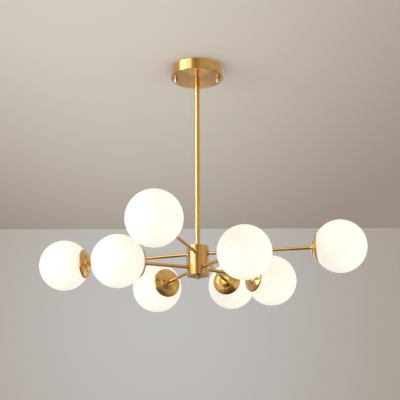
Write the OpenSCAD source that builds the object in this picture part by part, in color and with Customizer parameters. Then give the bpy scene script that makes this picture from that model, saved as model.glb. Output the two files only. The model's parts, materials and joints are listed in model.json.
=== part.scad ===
// Branch chandelier: eight opal glass globes on two tiers of straight brass arms.
// Millimetres, +Z up. The origin is the middle of the ceiling bracket's top face,
// so the ceiling is the plane z = 0 and the lamp hangs below it. The bracket lies along X.

/* [Layout] */
// Turn of the first long arm from the ceiling bracket's line
arm_turn = -15.4; // [-20:0.1:-10]
// Hub axis to globe centre on the four long, upper arms
long_reach = 332; // [300:1:380]
// Hub axis to globe centre on the four short, lower arms
short_reach = 204; // [190:1:215]
// How far the long arms hang below level
long_droop = 1; // [0:0.1:2]
// How far the short arms hang below level
short_droop = 2.2; // [0:0.1:3]
// Height between the two tiers of arms
tier_gap = 33.5; // [31:0.5:36]

/* [Globe] */
// Outer diameter of a glass globe
globe_d = 120; // [116:1:126]
// Glass wall
glass_t = 2.5; // [2:0.1:3.2]
// Outer diameter of the globe's screwed neck
neck_d = 32.8; // [31:0.2:34]

/* [Cup] */
// Diameter over the cup's rim band
cup_d = 69.5; // [64:0.5:74]
// Sheet thickness of the cup
cup_t = 1.2; // [1:0.1:1.4]
// Width of the rim band along the axis
rim_h = 2; // [1.5:0.1:2.6]
// How far the rim band stands out from the bowl
rim_step = 0.8; // [0.4:0.1:1]
// Radial thickness of the rim band
rim_t = 1.8; // [1.6:0.1:2.2]
// Space between the glass and the bowl's inside
bowl_gap = 2.3; // [2.2:0.1:3]
// Straight wall of the raised centre
step_h = 1.2; // [0.8:0.1:2]
// Height of the cone on the raised centre
cone_h = 5; // [5:0.1:7]

/* [Globe collar] */
// Radial thickness of the threaded sleeve
sleeve_t = 1.35; // [1.1:0.05:1.6]
// Width of the flange outside the collar screws
collar_land = 2; // [1.5:0.1:3]
// Thickness of the collar's flange
flange_t = 1.4; // [1.1:0.1:1.5]
// Shank diameter of a collar screw
screw_d = 2.5; // [2:0.1:2.6]
// Head diameter of a collar screw
head_d = 4.4; // [3.6:0.1:4.6]
// Head height of a collar screw
head_h = 1.5; // [1:0.1:2]
// Clock angle of the first collar screw, from straight up
screw_clock = 46; // [30:1:60]

/* [Arm] */
// Outer diameter of an arm tube
arm_d = 8; // [7.6:0.1:8.4]
// Wall of an arm tube
arm_t = 1.2; // [0.8:0.1:1.6]
// Across flats of the nuts on the arm's ends
arm_nut_af = 13; // [12.5:0.5:14]
// Thickness of those nuts
arm_nut_t = 3; // [2.5:0.1:3.5]
// Diameter of the ferrule behind each cup
ferrule_d = 12; // [10.5:0.5:15]
// Length of that ferrule
ferrule_l = 1.5; // [1:0.5:6]

/* [Lampholder and bulb] */
// Diameter of the ceramic pin lampholder
holder_d = 19; // [18:0.5:20]
// Length of the lampholder
holder_l = 24; // [22.5:0.5:27]
// How deep the arm's end sits in the lampholder
arm_seat = 5; // [4:0.5:5]
// Largest diameter of the bulb
bulb_d = 16; // [14.5:0.5:17]
// Bulb length outside the lampholder
bulb_l = 36; // [32:1:38]
// Distance between the two pins
pin_pitch = 9; // [8.6:0.1:9.4]
// Length of the pins
pin_l = 14; // [12:0.5:14]
// Width of a flat pin
pin_w = 2.6; // [2:0.1:2.8]
// Thickness of a flat pin
pin_t = 0.8; // [0.6:0.1:1]

/* [Hub] */
// Outer diameter of the hub
hub_d = 52.5; // [50:0.5:56]
// Height of the hub
hub_h = 70; // [68:1:80]
// Side wall of the hub
hub_t = 4; // [3.6:0.1:4.2]
// Top plate of the hub
hub_top_t = 3.5; // [3:0.1:4]
// Rounding of the hub's top edge
hub_edge_r = 1.5; // [0.5:0.1:2.5]
// Top of the hub down to the upper tier of arms
tier_inset = 17.5; // [16:0.5:18]
// Diameter of the open counterbore round each arm
arm_well_d = 11.2; // [10:0.2:12]
// Depth of that counterbore
arm_well_h = 2; // [1:0.1:2.2]
// Thickness of the bottom cover
cover_t = 3; // [2:0.1:3.5]
// How far the cover sits above the hub's bottom edge
cover_inset = 0.5; // [0.2:0.1:1]
// Diameter of the finial knob
finial_d = 12.8; // [11:0.1:16]
// Height of the finial knob
finial_h = 8; // [6:0.5:12]

/* [Stem] */
// Outer diameter of the stem
stem_d = 12.7; // [12.2:0.1:14]
// Upper length of the stem
upper_stem_l = 254; // [150:1:400]
// Lower length of the stem
lower_stem_l = 170; // [100:1:300]
// Outer diameter of the threaded nipples
nipple_d = 10; // [9:0.1:10.2]
// Wall of the threaded nipples
nipple_t = 1.5; // [1:0.1:1.8]
// How far each nipple screws into a stem tube
nipple_seat = 12; // [8:0.5:20]
// Across flats of the flanged nuts
stem_nut_af = 14; // [13.5:0.5:16]

/* [Canopy] */
// Diameter of the ceiling canopy
canopy_d = 128; // [126:1:150]
// Height of the canopy
canopy_h = 27; // [26:0.5:40]
// Sheet thickness of the canopy
canopy_t = 1.2; // [0.8:0.1:1.6]
// Rounding of the canopy's bottom edge
canopy_edge_r = 2.5; // [2:0.1:4]
// Diameter of a cap nut
cap_nut_d = 10; // [8:0.5:12]
// Height of a cap nut
cap_nut_h = 11.5; // [9:0.5:14]

/* [Ceiling bracket] */
// Distance between the two studs
stud_pitch = 102.6; // [100:0.2:104]
// Stud diameter
stud_d = 4; // [3.5:0.1:4.5]
// Width of the bracket
bracket_w = 26; // [24:0.5:28]
// Thickness of the bracket
bracket_t = 2; // [1.6:0.1:2.4]
// Distance between the two fixing slots' centres
slot_pitch = 76; // [75:0.5:78]
// Width of a fixing slot
slot_w = 5; // [4:0.1:5.5]
// Length of a fixing slot
slot_l = 12; // [8:0.5:13]
// Size of the terminal block along the bracket
block_w = 15; // [13:0.5:17]
// Size of the terminal block across the bracket
block_l = 24; // [22:0.5:24]
// Height of the terminal block
block_h = 12; // [11:0.5:13]
// Head diameter of the earth screw
earth_head_d = 8; // [7:0.5:9]

/* [Wiring] */
// Diameter of the stem's cable
cable_d = 4.5; // [3.5:0.1:5]
// Radius of the cable's bend over the canopy's nipple
cable_bend_r = 7; // [6:0.5:7]
// Diameter of an arm's lead
lead_d = 2.8; // [2.2:0.1:3]
// Diameter of the insulated splice in the hub
splice_d = 16; // [15:0.5:18]

/* [Hidden] */

// Fits, all radial or along the axis
bore_gap = 0.05;      // a thread or a close bore
part_gap = 0.1;       // between pieces that are bolted together
glass_gap = 0.3;      // glass to metal
thread_gap = 0.35;    // glass neck in its threaded sleeve
hole_gap = 0.15;      // screw or stud in a punched hole
wire_gap = 0.2;       // wire in its port
pin_gap = 0.4;        // flat pin in its slot
end_gap = 0.2;        // end of a wire or an arm from the bottom of its hole
cut = 1;              // how far a cut runs past the face it opens
eps = 0.01;           // how far joined shapes reach into each other

brass = "#c79a45";
dark_brass = "#a87e38";
zinc = "#b9bcc0";
opal = "#fffbef";
ceramic = "#efece4";
black = "#2b2b2b";

// Heights
canopy_z = -canopy_h;
canopy_floor_z = canopy_z + canopy_t;
seam_z = canopy_z - upper_stem_l;
hub_z = seam_z - lower_stem_l;
hub_bottom_z = hub_z - hub_h;
upper_z = hub_z - tier_inset;
lower_z = upper_z - tier_gap;

// Places on a lamp, each a distance u from the globe's centre towards the hub
globe_r = globe_d / 2;
neck_r = neck_d / 2;
bowl_in_r = globe_r + bowl_gap;
bowl_r = bowl_in_r + cup_t;
rim_in_r = cup_d / 2 - rim_t;
bowl_edge_r = cup_d / 2 - rim_step;
rim_u = sqrt(pow(globe_r + glass_gap, 2) - pow(rim_in_r, 2));
sleeve_in_r = neck_r + thread_gap;
sleeve_r = sleeve_in_r + sleeve_t;
raised_in_r = sleeve_r + part_gap;
raised_r = raised_in_r + cup_t;
nut_corner_r = arm_nut_af / 2 / cos(30);
cone_land = 1.6;      // flat ring on the cone outside the nut's corners
cone_end_r = nut_corner_r + cone_land;
step_u = sqrt(bowl_r * bowl_r - raised_r * raised_r) + step_h;
cone_u = step_u + cone_h;
cone_slope = cone_h / (raised_r - cone_end_r);
cone_shift = cup_t * sqrt(1 + cone_slope * cone_slope);
function cavity_u(r) = step_u + (raised_r - r) * cone_slope - cone_shift;
seat_u = cone_u - cup_t;
cavity_end_r = raised_r - (seat_u - step_u + cone_shift) / cone_slope;
sleeve_u = cavity_u(raised_in_r) - part_gap;
neck_u = cavity_u(neck_r) - glass_gap;
collar_out_r = bowl_in_r - part_gap;
collar_in_r = collar_out_r - flange_t;
holder_u = seat_u - arm_nut_t;
holder_front_u = holder_u - holder_l;
arm_end_u = holder_u - arm_seat;
lead_seat = 2.5;      // how deep a lead sits in the lampholder
lead_end_u = arm_end_u - lead_seat;
screw_r = raised_r + head_d / 2 + part_gap;
collar_r = screw_r + screw_d / 2 + collar_land;
screw_tilt = asin(screw_r / bowl_r);
screw_grip = cup_t + part_gap + flange_t - end_gap;
screw_edge_r = 0.8;
edge_share_h = 0.45;  // most of a head's height that its rounding takes
edge_share_d = 0.24;  // and of its diameter
bulb_base_l = 7;
bulb_base_step = 0.8;
pin_root = 1;         // how far the pins reach back into the bulb's base

// Places in the stem and canopy
nipple_r = nipple_d / 2;
stem_nut_t = 4;
nut_flange_t = 1.2;
nut_flange_over = 1;  // how far the flange stands out past the nut's corners
nipple_over = 1.5;    // thread that shows past a nut
nut_stack = stem_nut_t + nut_flange_t;
stem_bevel = 0.4;
stud_shoulder = 2.5;
stud_in_nut = 7;
cap_nut_edge_r = 2.4;
cap_neck_step = 0.8;
cap_neck_h = 1.2;
block_run = 5;        // straight cable between its bend and the terminal block
block_x = cable_bend_r + block_run;
wire_screw_r = 2.2;
wire_screw_h = 2.5;
wire_port_r = 1.8;
wire_port_l = 4;
earth_x = 18;
earth_head_t = 2.6;
driver_w = 1;         // driver slot in the earth screw
driver_h = 1;
bracket_end = 7;      // bracket past each stud's middle
cable_z = -bracket_t - block_h / 2;
cable_port = 2.5;

// Places in the hub
hub_in_r = hub_d / 2 - hub_t;
nut_spot = 0.3;       // depth of the flat that each arm nut seats on
nut_room = 0.5;       // that flat past the nut's corners
nut_face_r = hub_in_r + nut_spot;
arm_over = 1.5;       // arm that shows past its nut in the hub
arm_start_r = nut_face_r - arm_nut_t - arm_over;
cover_ledge = 1.6;    // ring of the hub that the bottom cover seats on
cover_r = hub_in_r + cover_ledge;
cover_bottom_z = hub_bottom_z + cover_inset;
cover_top_z = cover_bottom_z + cover_t;
finial_stud_r = 2.5;
finial_stud_over = 2; // stud that shows past the cover
finial_edge_r = 1.5;
splice_drop = 2.8;    // splice below the end of the stem's nipple
splice_foot = 7;      // splice below the middle of the lower leads
splice_top_z = hub_z - hub_top_t - nut_stack - nipple_over - splice_drop;
splice_bottom_z = lower_z - splice_foot;
splice_port = 2.5;
lead_start_r = splice_d / 2 - splice_port + end_gap;

LAMPS = 8;
function is_long(i) = i % 2 == 0;
function azimuth(i) = arm_turn + i * 360 / LAMPS;
function level(i) = is_long(i) ? upper_z : lower_z;
function reach(i) = is_long(i) ? long_reach : short_reach;
function droop(i) = is_long(i) ? long_droop : short_droop;

$fn = 96;

// Stands on the hub's axis at the arm's level, with X out along arm i
module on_arm(i) {
    translate([0, 0, level(i)])
        rotate([0, droop(i), azimuth(i)])
            children();
}

// Stands at globe i's centre, with Z back along the arm towards the hub
module from_globe(i) {
    on_arm(i)
        translate([reach(i), 0, 0])
            rotate([0, -90, 0])
                children();
}

// Each of the three collar screws, with Z outwards from the globe's centre
module each_collar_screw() {
    for (k = [0:2])
        rotate([0, 0, screw_clock + k * 120])
            rotate([0, screw_tilt, 0])
                children();
}

module tube(r, wall_in_r, h) {
    difference() {
        cylinder(r = r, h = h);
        translate([0, 0, -cut])
            cylinder(r = wall_in_r, h = h + 2 * cut);
    }
}

module hex_nut(af, t, hole_r) {
    difference() {
        cylinder(r = af / 2 / cos(30), h = t, $fn = 6);
        translate([0, 0, -cut])
            cylinder(r = hole_r, h = t + 2 * cut);
    }
}

// ---- Canopy and ceiling bracket ----

// Section of the canopy's outside, or of its inside where inset is the sheet
module canopy_section(inset) {
    r = canopy_d / 2 - inset;
    edge = canopy_edge_r - inset;
    bottom = canopy_z + inset;
    translate([0, bottom + edge])
        square([r, -bottom - edge + (inset > 0 ? cut : 0)]);
    translate([0, bottom])
        square([r - edge, edge + eps]);
    translate([r - edge, bottom + edge])
        circle(r = edge);
}

module canopy() {
    color(brass)
        difference() {
            rotate_extrude($fn = 180)
                difference() {
                    canopy_section(0);
                    canopy_section(canopy_t);
                }
            translate([0, 0, canopy_z - cut])
                cylinder(r = nipple_r + hole_gap, h = canopy_t + 2 * cut);
            for (side = [-1, 1])
                translate([side * stud_pitch / 2, 0, canopy_z - cut])
                    cylinder(r = stud_d / 2 + hole_gap, h = canopy_t + 2 * cut);
        }
}

module ceiling_bracket() {
    l = stud_pitch + 2 * bracket_end;
    color(zinc)
        difference() {
            translate([-l / 2, -bracket_w / 2, -bracket_t])
                cube([l, bracket_w, bracket_t]);
            for (side = [-1, 1]) {
                translate([side * stud_pitch / 2, 0, -bracket_t - cut])
                    cylinder(r = stud_d / 2 + bore_gap, h = bracket_t + 2 * cut);
                translate([side * slot_pitch / 2, 0, -bracket_t - cut])
                    fixing_slot();
            }
            translate([-earth_x, 0, -bracket_t - cut])
                cylinder(r = stud_d / 2 + bore_gap, h = bracket_t + 2 * cut);
        }
}

module fixing_slot() {
    half = (slot_l - slot_w) / 2;
    for (end = [-1, 1])
        translate([end * half, 0, 0])
            cylinder(r = slot_w / 2, h = bracket_t + 2 * cut);
    translate([-half, -slot_w / 2, 0])
        cube([2 * half, slot_w, bracket_t + 2 * cut]);
}

module bracket_studs() {
    top = -end_gap;
    bottom = canopy_z - stud_in_nut;
    color(zinc)
        for (side = [-1, 1])
            translate([side * stud_pitch / 2, 0, 0]) {
                translate([0, 0, bottom])
                    cylinder(r = stud_d / 2, h = top - bottom);
                translate([0, 0, -bracket_t - stud_shoulder])
                    cylinder(r = stud_d, h = stud_shoulder, $fn = 6);
            }
}

module cap_nuts() {
    round_r = min(cap_nut_edge_r, cap_nut_d * edge_share_d);
    color(brass)
        for (side = [-1, 1])
            translate([side * stud_pitch / 2, 0, canopy_z])
                difference() {
                    mirror([0, 0, 1])
                        rotate_extrude()
                            cap_nut_section(round_r);
                    translate([0, 0, -stud_in_nut - end_gap])
                        cylinder(r = stud_d / 2 + bore_gap, h = stud_in_nut + end_gap + cut);
                }
}

module cap_nut_section(round_r) {
    square([cap_nut_d / 2 - cap_neck_step, cap_neck_h]);
    translate([0, cap_neck_h])
        square([cap_nut_d / 2, cap_nut_h - cap_neck_h - round_r]);
    square([cap_nut_d / 2 - round_r, cap_nut_h]);
    translate([cap_nut_d / 2 - round_r, cap_nut_h - round_r])
        circle(r = round_r);
}

module terminal_block() {
    bottom = -bracket_t - block_h;
    color(ceramic)
        difference() {
            translate([block_x, -block_l / 2, bottom])
                cube([block_w, block_l, block_h]);
            translate([block_x - cut, 0, cable_z])
                rotate([0, 90, 0])
                    cylinder(r = cable_d / 2 + wire_gap, h = cable_port + cut);
            for (k = [-1, 0, 1]) {
                translate([block_x + block_w / 2, k * block_l / 3, bottom - cut])
                    cylinder(r = wire_screw_r, h = wire_screw_h + cut);
                translate([block_x + block_w - wire_port_l, k * block_l / 3, cable_z])
                    rotate([0, 90, 0])
                        cylinder(r = wire_port_r, h = wire_port_l + cut);
            }
        }
}

module earth_screw() {
    bottom = -bracket_t - earth_head_t;
    color(brass)
        translate([-earth_x, 0, 0]) {
            translate([0, 0, -bracket_t - eps])
                cylinder(r = stud_d / 2, h = bracket_t - end_gap + eps);
            difference() {
                translate([0, 0, bottom])
                    cylinder(r = earth_head_d / 2, h = earth_head_t);
                translate([-earth_head_d / 2 - cut, -driver_w / 2, bottom - cut])
                    cube([earth_head_d + 2 * cut, driver_w, driver_h + cut]);
            }
        }
}

// ---- Stem ----

module nipple(bottom, top) {
    translate([0, 0, bottom])
        tube(nipple_r, nipple_r - nipple_t, top - bottom);
}

module stem_nipples() {
    color(zinc) {
        nipple(canopy_z - nipple_seat, canopy_floor_z + nut_stack + nipple_over);
        nipple(seam_z - nipple_seat, seam_z + nipple_seat);
        nipple(hub_z - hub_top_t - nut_stack - nipple_over, hub_z + nipple_seat);
    }
}

module flanged_nut() {
    hole_r = nipple_r + bore_gap;
    translate([0, 0, nut_flange_t])
        hex_nut(stem_nut_af, stem_nut_t, hole_r);
    tube(stem_nut_af / 2 / cos(30) + nut_flange_over, hole_r, nut_flange_t + eps);
}

module stem_nuts() {
    color(zinc) {
        translate([0, 0, canopy_floor_z])
            flanged_nut();
        translate([0, 0, hub_z - hub_top_t])
            mirror([0, 0, 1])
                flanged_nut();
    }
}

// A stem tube with a bevel on the end that meets the other tube
module stem_tube(l, bevel_top) {
    r = stem_d / 2;
    in_r = nipple_r + bore_gap;
    bottom_r = bevel_top ? r : r - stem_bevel;
    top_r = bevel_top ? r - stem_bevel : r;
    rotate_extrude()
        polygon([
            [in_r, 0], [bottom_r, 0], [r, stem_bevel],
            [r, l - stem_bevel], [top_r, l], [in_r, l]
        ]);
}

module upper_stem() {
    color(brass)
        translate([0, 0, seam_z])
            stem_tube(upper_stem_l, false);
}

module lower_stem() {
    color(brass)
        translate([0, 0, hub_z])
            stem_tube(lower_stem_l, true);
}

module stem_cable() {
    r = cable_d / 2;
    bottom = splice_top_z - splice_port + end_gap;
    bend_z = cable_z - cable_bend_r;
    color(black) {
        translate([0, 0, bottom])
            cylinder(r = r, h = bend_z - bottom);
        translate([cable_bend_r, 0, bend_z])
            rotate([90, 0, 0])
                rotate([0, 0, 90])
                    rotate_extrude(angle = 90)
                        translate([cable_bend_r, 0])
                            circle(r = r);
        translate([cable_bend_r, 0, cable_z])
            rotate([0, 90, 0])
                cylinder(r = r, h = block_x - cable_bend_r + cable_port - end_gap);
    }
}

// ---- Hub ----

module hub_section() {
    r = hub_d / 2;
    translate([0, hub_bottom_z])
        square([r, hub_h - hub_edge_r]);
    translate([0, hub_bottom_z])
        square([r - hub_edge_r, hub_h]);
    translate([r - hub_edge_r, hub_z - hub_edge_r])
        circle(r = hub_edge_r);
}

// What one arm takes out of the hub: close bore, outer well, flat seat for the nut
module hub_arm_cut() {
    rotate([0, 90, 0]) {
        cylinder(r = arm_d / 2 + bore_gap, h = hub_d);
        translate([0, 0, hub_d / 2 - arm_well_h])
            cylinder(r = arm_well_d / 2, h = hub_d);
        translate([0, 0, hub_in_r / 2])
            cylinder(r = nut_corner_r + nut_room, h = nut_face_r - hub_in_r / 2);
    }
}

module hub_body() {
    color(brass)
        difference() {
            rotate_extrude($fn = 128)
                hub_section();
            translate([0, 0, hub_bottom_z - cut])
                cylinder(r = hub_in_r, h = hub_h - hub_top_t + cut);
            translate([0, 0, hub_bottom_z - cut])
                cylinder(r = cover_r + part_gap, h = cover_inset + cover_t + cut);
            translate([0, 0, hub_z - hub_top_t - cut])
                cylinder(r = nipple_r + bore_gap, h = hub_top_t + 2 * cut);
            for (i = [0:LAMPS - 1])
                on_arm(i)
                    hub_arm_cut();
        }
}

module hub_cover() {
    color(dark_brass)
        translate([0, 0, cover_bottom_z])
            tube(cover_r, finial_stud_r + bore_gap, cover_t);
}

module hub_finial() {
    r = finial_d / 2;
    color(brass)
        translate([0, 0, cover_bottom_z]) {
            mirror([0, 0, 1])
                rotate_extrude() {
                    square([r, finial_h - finial_edge_r]);
                    square([r - finial_edge_r, finial_h]);
                    translate([r - finial_edge_r, finial_h - finial_edge_r])
                        circle(r = finial_edge_r);
                }
            translate([0, 0, -eps])
                cylinder(r = finial_stud_r, h = cover_t + finial_stud_over);
        }
}

module hub_splice() {
    color(black)
        difference() {
            translate([0, 0, splice_bottom_z])
                cylinder(r = splice_d / 2, h = splice_top_z - splice_bottom_z);
            translate([0, 0, splice_top_z - splice_port])
                cylinder(r = cable_d / 2 + wire_gap, h = splice_port + cut);
            for (i = [0:LAMPS - 1])
                on_arm(i)
                    translate([splice_d / 2 - splice_port, 0, 0])
                        rotate([0, 90, 0])
                            cylinder(r = lead_d / 2 + wire_gap, h = splice_d);
        }
}

module arm_leads() {
    color("white")
        for (i = [0:LAMPS - 1])
            on_arm(i)
                translate([lead_start_r, 0, 0])
                    rotate([0, 90, 0])
                        cylinder(r = lead_d / 2, h = reach(i) - lead_end_u - lead_start_r);
}

// ---- One lamp: arm, cup, collar, lampholder, bulb and globe ----

module arm(i) {
    color(brass)
        on_arm(i)
            translate([arm_start_r, 0, 0])
                rotate([0, 90, 0])
                    tube(arm_d / 2, arm_d / 2 - arm_t, reach(i) - arm_end_u - arm_start_r);
}

// Two nuts on each arm: one on the hub's inner seat, one inside the cup
module arm_nuts() {
    hole_r = arm_d / 2 + bore_gap;
    color(zinc)
        for (i = [0:LAMPS - 1]) {
            on_arm(i)
                translate([nut_face_r - arm_nut_t, 0, 0])
                    rotate([0, 90, 0])
                        hex_nut(arm_nut_af, arm_nut_t, hole_r);
            from_globe(i)
                translate([0, 0, holder_u])
                    hex_nut(arm_nut_af, arm_nut_t, hole_r);
        }
}

module cup_ferrules() {
    color(brass)
        for (i = [0:LAMPS - 1])
            from_globe(i)
                translate([0, 0, cone_u])
                    tube(ferrule_d / 2, arm_d / 2 + bore_gap, ferrule_l);
}

// Outside of the cup: rim band, bowl that follows the glass, raised centre with a cone
module cup_outside() {
    intersection() {
        circle(r = bowl_r, $fn = 180);
        translate([0, rim_u])
            square([bowl_edge_r, bowl_r]);
    }
    translate([0, rim_u])
        square([cup_d / 2, rim_h]);
    polygon([
        [0, rim_u], [raised_r, rim_u], [raised_r, step_u],
        [cone_end_r, cone_u], [0, cone_u]
    ]);
}

module cup_inside() {
    intersection() {
        circle(r = bowl_in_r, $fn = 180);
        square([rim_in_r, bowl_r]);
    }
    polygon([
        [0, 0], [raised_in_r, 0], [raised_in_r, cavity_u(raised_in_r)],
        [cavity_end_r, seat_u], [0, seat_u]
    ]);
}

module cup(i) {
    color(brass)
        from_globe(i)
            difference() {
                rotate_extrude($fn = 128)
                    difference() {
                        cup_outside();
                        cup_inside();
                    }
                cylinder(r = arm_d / 2 + bore_gap, h = cone_u + cut);
                each_collar_screw()
                    translate([0, 0, globe_r])
                        cylinder(r = screw_d / 2 + hole_gap, h = bowl_r - globe_r + cut, $fn = 32);
            }
}

module collar_section() {
    difference() {
        union() {
            intersection() {
                circle(r = collar_out_r, $fn = 180);
                square([collar_r, collar_out_r]);
            }
            square([sleeve_r, sleeve_u]);
        }
        circle(r = collar_in_r, $fn = 180);
        square([sleeve_in_r, bowl_r]);
    }
}

module globe_collars() {
    color(zinc)
        for (i = [0:LAMPS - 1])
            from_globe(i)
                difference() {
                    rotate_extrude()
                        collar_section();
                    each_collar_screw()
                        translate([0, 0, globe_r])
                            cylinder(r = screw_d / 2 + bore_gap, h = bowl_r - globe_r + cut, $fn = 32);
                }
}

module collar_screws() {
    color(brass)
        for (i = [0:LAMPS - 1])
            from_globe(i)
                each_collar_screw()
                    collar_screw();
}

module collar_screw() {
    round_r = min(screw_edge_r, head_h * edge_share_h, head_d * edge_share_d);
    translate([0, 0, bowl_r - screw_grip])
        cylinder(r = screw_d / 2, h = screw_grip + eps, $fn = 32);
    translate([0, 0, bowl_r])
        rotate_extrude($fn = 32) {
            square([head_d / 2, head_h - round_r]);
            square([head_d / 2 - round_r, head_h]);
            translate([head_d / 2 - round_r, head_h - round_r])
                circle(r = round_r);
        }
}

// Ceramic pin lampholder on the arm's threaded end
module lampholder(i) {
    port_w = pin_w + 2 * pin_gap;
    port_t = pin_t + 2 * pin_gap;
    port_l = pin_l + pin_gap;
    color(ceramic)
        from_globe(i)
            difference() {
                translate([0, 0, holder_front_u])
                    cylinder(r = holder_d / 2, h = holder_l);
                translate([0, 0, arm_end_u - end_gap])
                    cylinder(r = arm_d / 2 + bore_gap, h = holder_l);
                translate([0, 0, lead_end_u - end_gap])
                    cylinder(r = lead_d / 2 + wire_gap, h = holder_l);
                for (side = [-1, 1])
                    translate([-port_t / 2, side * pin_pitch / 2 - port_w / 2, holder_front_u - cut])
                        cube([port_t, port_w, port_l + cut]);
            }
}

// Bi-pin capsule bulb: base, capsule with a round end, two flat pins
module bulb(i) {
    r = bulb_d / 2;
    color(ceramic)
        from_globe(i) {
            translate([0, 0, holder_front_u - bulb_base_l])
                cylinder(r = r - bulb_base_step, h = bulb_base_l - part_gap);
            translate([0, 0, holder_front_u - bulb_l + r])
                cylinder(r = r, h = bulb_l - r - bulb_base_l);
            translate([0, 0, holder_front_u - bulb_l + r])
                sphere(r = r);
            for (side = [-1, 1])
                translate([-pin_t / 2, side * pin_pitch / 2 - pin_w / 2, holder_front_u - pin_root])
                    cube([pin_t, pin_w, pin_l + pin_root]);
        }
}

// Opal globe: a sphere of even wall with a short screwed neck
module globe(i) {
    color(opal)
        from_globe(i)
            difference() {
                union() {
                    sphere(r = globe_r, $fn = 128);
                    cylinder(r = neck_r, h = neck_u);
                }
                sphere(r = globe_r - glass_t, $fn = 128);
                cylinder(r = neck_r - glass_t, h = neck_u + cut);
            }
}

canopy();
ceiling_bracket();
bracket_studs();
cap_nuts();
terminal_block();
earth_screw();
stem_nipples();
stem_nuts();
upper_stem();
lower_stem();
stem_cable();
hub_body();
hub_cover();
hub_finial();
hub_splice();
arm_leads();
arm_nuts();
cup_ferrules();
globe_collars();
collar_screws();
arm(0);  // arm_1
arm(1);  // arm_2
arm(2);  // arm_3
arm(3);  // arm_4
arm(4);  // arm_5
arm(5);  // arm_6
arm(6);  // arm_7
arm(7);  // arm_8
cup(0);  // cup_1
cup(1);  // cup_2
cup(2);  // cup_3
cup(3);  // cup_4
cup(4);  // cup_5
cup(5);  // cup_6
cup(6);  // cup_7
cup(7);  // cup_8
lampholder(0);  // lampholder_1
lampholder(1);  // lampholder_2
lampholder(2);  // lampholder_3
lampholder(3);  // lampholder_4
lampholder(4);  // lampholder_5
lampholder(5);  // lampholder_6
lampholder(6);  // lampholder_7
lampholder(7);  // lampholder_8
bulb(0);  // bulb_1
bulb(1);  // bulb_2
bulb(2);  // bulb_3
bulb(3);  // bulb_4
bulb(4);  // bulb_5
bulb(5);  // bulb_6
bulb(6);  // bulb_7
bulb(7);  // bulb_8
globe(0);  // globe_1
globe(1);  // globe_2
globe(2);  // globe_3
globe(3);  // globe_4
globe(4);  // globe_5
globe(5);  // globe_6
globe(6);  // globe_7
globe(7);  // globe_8
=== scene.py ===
import json
import math
import bmesh
import bpy
import numpy as np
from mathutils import Matrix, Vector


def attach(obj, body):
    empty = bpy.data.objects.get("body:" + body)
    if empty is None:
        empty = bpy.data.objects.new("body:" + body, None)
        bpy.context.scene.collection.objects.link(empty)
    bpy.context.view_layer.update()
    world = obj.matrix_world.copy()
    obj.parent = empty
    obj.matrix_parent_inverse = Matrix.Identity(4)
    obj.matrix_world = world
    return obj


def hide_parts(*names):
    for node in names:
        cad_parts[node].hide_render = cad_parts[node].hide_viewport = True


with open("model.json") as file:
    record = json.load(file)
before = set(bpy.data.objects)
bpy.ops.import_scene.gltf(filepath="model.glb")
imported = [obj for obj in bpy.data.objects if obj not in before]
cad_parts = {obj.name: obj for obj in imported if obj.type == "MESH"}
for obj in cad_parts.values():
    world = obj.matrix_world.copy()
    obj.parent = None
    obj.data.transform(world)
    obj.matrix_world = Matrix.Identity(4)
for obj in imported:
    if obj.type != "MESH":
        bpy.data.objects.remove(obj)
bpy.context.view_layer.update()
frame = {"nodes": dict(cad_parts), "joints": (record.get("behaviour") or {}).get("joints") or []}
nodes = frame["nodes"]
mm = 0.001
upright = Matrix.Identity(4)
print("frame loaded:", len(nodes), "nodes")

# In mm: from the hub's axis to a globe's centre, and the levels that the two tiers of arms leave from.
layout = dict(longReach=332, shortReach=204, upperLevel=-468.5, lowerLevel=-502)


def lampPlaces():
    # The draw-off joint's axis points out along the arm. Local Z runs back to the hub, local X is up.
    places = []
    for joint in frame["joints"]:
        if not joint["name"].endswith("draw_off"):
            continue
        number = int(joint["child"].split("_")[1])
        isLong = number % 2 == 1
        out = Vector(joint["axis"]).normalized()
        side = Vector((-out.y, out.x, 0)).normalized()
        up = out.cross(side)
        reach = layout["longReach"] if isLong else layout["shortReach"]
        level = layout["upperLevel"] if isLong else layout["lowerLevel"]
        centre = Vector((0, 0, level * mm)) + out * reach * mm
        turn = Matrix((up, side, -out)).transposed().to_4x4()
        places.append(dict(number=number, reach=reach, matrix=Matrix.Translation(centre) @ turn))
    return places


lamps = lampPlaces()


def roundedOutline(corners, steps=6, guard=0.12, closed=True):
    # Each corner (radius, height, fillet) gives way to an arc of that radius that touches both its edges.
    # A guard point stands a little way along each edge, so that flats shade flat.
    table = np.array(corners, float)
    points, fillet = table[:, :2], table[:, 2:]
    toLast = np.roll(points, 1, axis=0) - points
    toNext = np.roll(points, -1, axis=0) - points
    toLast /= np.linalg.norm(toLast, axis=1, keepdims=True)
    toNext /= np.linalg.norm(toNext, axis=1, keepdims=True)
    half = np.arccos(np.clip((toLast * toNext).sum(1, keepdims=True), -1, 1)) / 2
    middle = toLast + toNext
    middle /= np.maximum(np.linalg.norm(middle, axis=1, keepdims=True), 1e-9)
    centre = points + middle * fillet / np.sin(half)
    first = points + toLast * fillet / np.tan(half)
    last = points + toNext * fillet / np.tan(half)
    sweep = (math.pi - 2 * half)[:, None, :]
    share = np.linspace(0, 1, steps)[None, :, None]
    arc = (np.sin((1 - share) * sweep) * (first - centre)[:, None, :]
           + np.sin(share * sweep) * (last - centre)[:, None, :]) / np.sin(sweep) + centre[:, None, :]
    before = (first + toLast * guard)[:, None, :]
    after = (last + toNext * guard)[:, None, :]
    rounded = np.concatenate([before, arc, after], axis=1)
    if closed:
        return rounded.reshape(-1, 2)
    return np.vstack([points[:1], rounded[1:-1].reshape(-1, 2), points[-1:]])


def partOutline(corners, steps, leaveOut):
    # A stretch of a rounded outline, in which each corner has its steps and two guard points. The points
    # left out at the two ends only steer the ones that stay.
    rounded = roundedOutline(corners, steps)
    return rounded[leaveOut[0]:len(rounded) - leaveOut[1]]


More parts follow.
